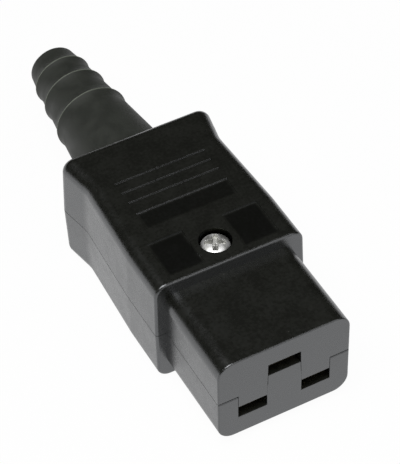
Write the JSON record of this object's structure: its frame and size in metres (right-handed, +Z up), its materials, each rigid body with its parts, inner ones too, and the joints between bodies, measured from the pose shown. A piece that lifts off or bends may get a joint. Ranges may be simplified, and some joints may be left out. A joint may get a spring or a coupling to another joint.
{
  "type": "c19 power connector",
  "caption": "Rewireable cable socket for a flat-pin power inlet: split moulded grip with a stepped nose, ribbed bend relief sleeve, brass contacts and a cable clamp inside.",
  "frame": {"origin": "bottom centre of the bounding box, on the plane of the flat underside", "axes": "+Y towards the cable, -Y out of the mating face, +Z up through the screwed cover, +X to the right when looking at the mating face"},
  "size_m": [0.0322, 0.096, 0.0246],
  "materials": {
    "black_plastic": "fine matte spark-eroded",
    "sleeve_rubber": "smooth satin",
    "plated_steel": "bright nickel plated",
    "spring_steel": "bright strip",
    "contact_brass": "bare stamped"
  },
  "bodies": {
    "root": {"top_cover": "black_plastic", "bottom_housing": "black_plastic", "bend_relief_sleeve": "sleeve_rubber", "cable_clamp_bar": "black_plastic", "housing_screw": "plated_steel", "housing_nut": "plated_steel", "clamp_screw_left": "plated_steel", "clamp_screw_right": "plated_steel", "line_contact": "contact_brass", "line_contact_spring": "spring_steel", "line_terminal": "contact_brass", "line_terminal_screw": "plated_steel", "neutral_contact": "contact_brass", "neutral_contact_spring": "spring_steel", "neutral_terminal": "contact_brass", "neutral_terminal_screw": "plated_steel", "earth_contact": "contact_brass", "earth_contact_spring": "spring_steel", "earth_terminal": "contact_brass", "earth_terminal_screw": "plated_steel"}
  },
  "joints": []
}
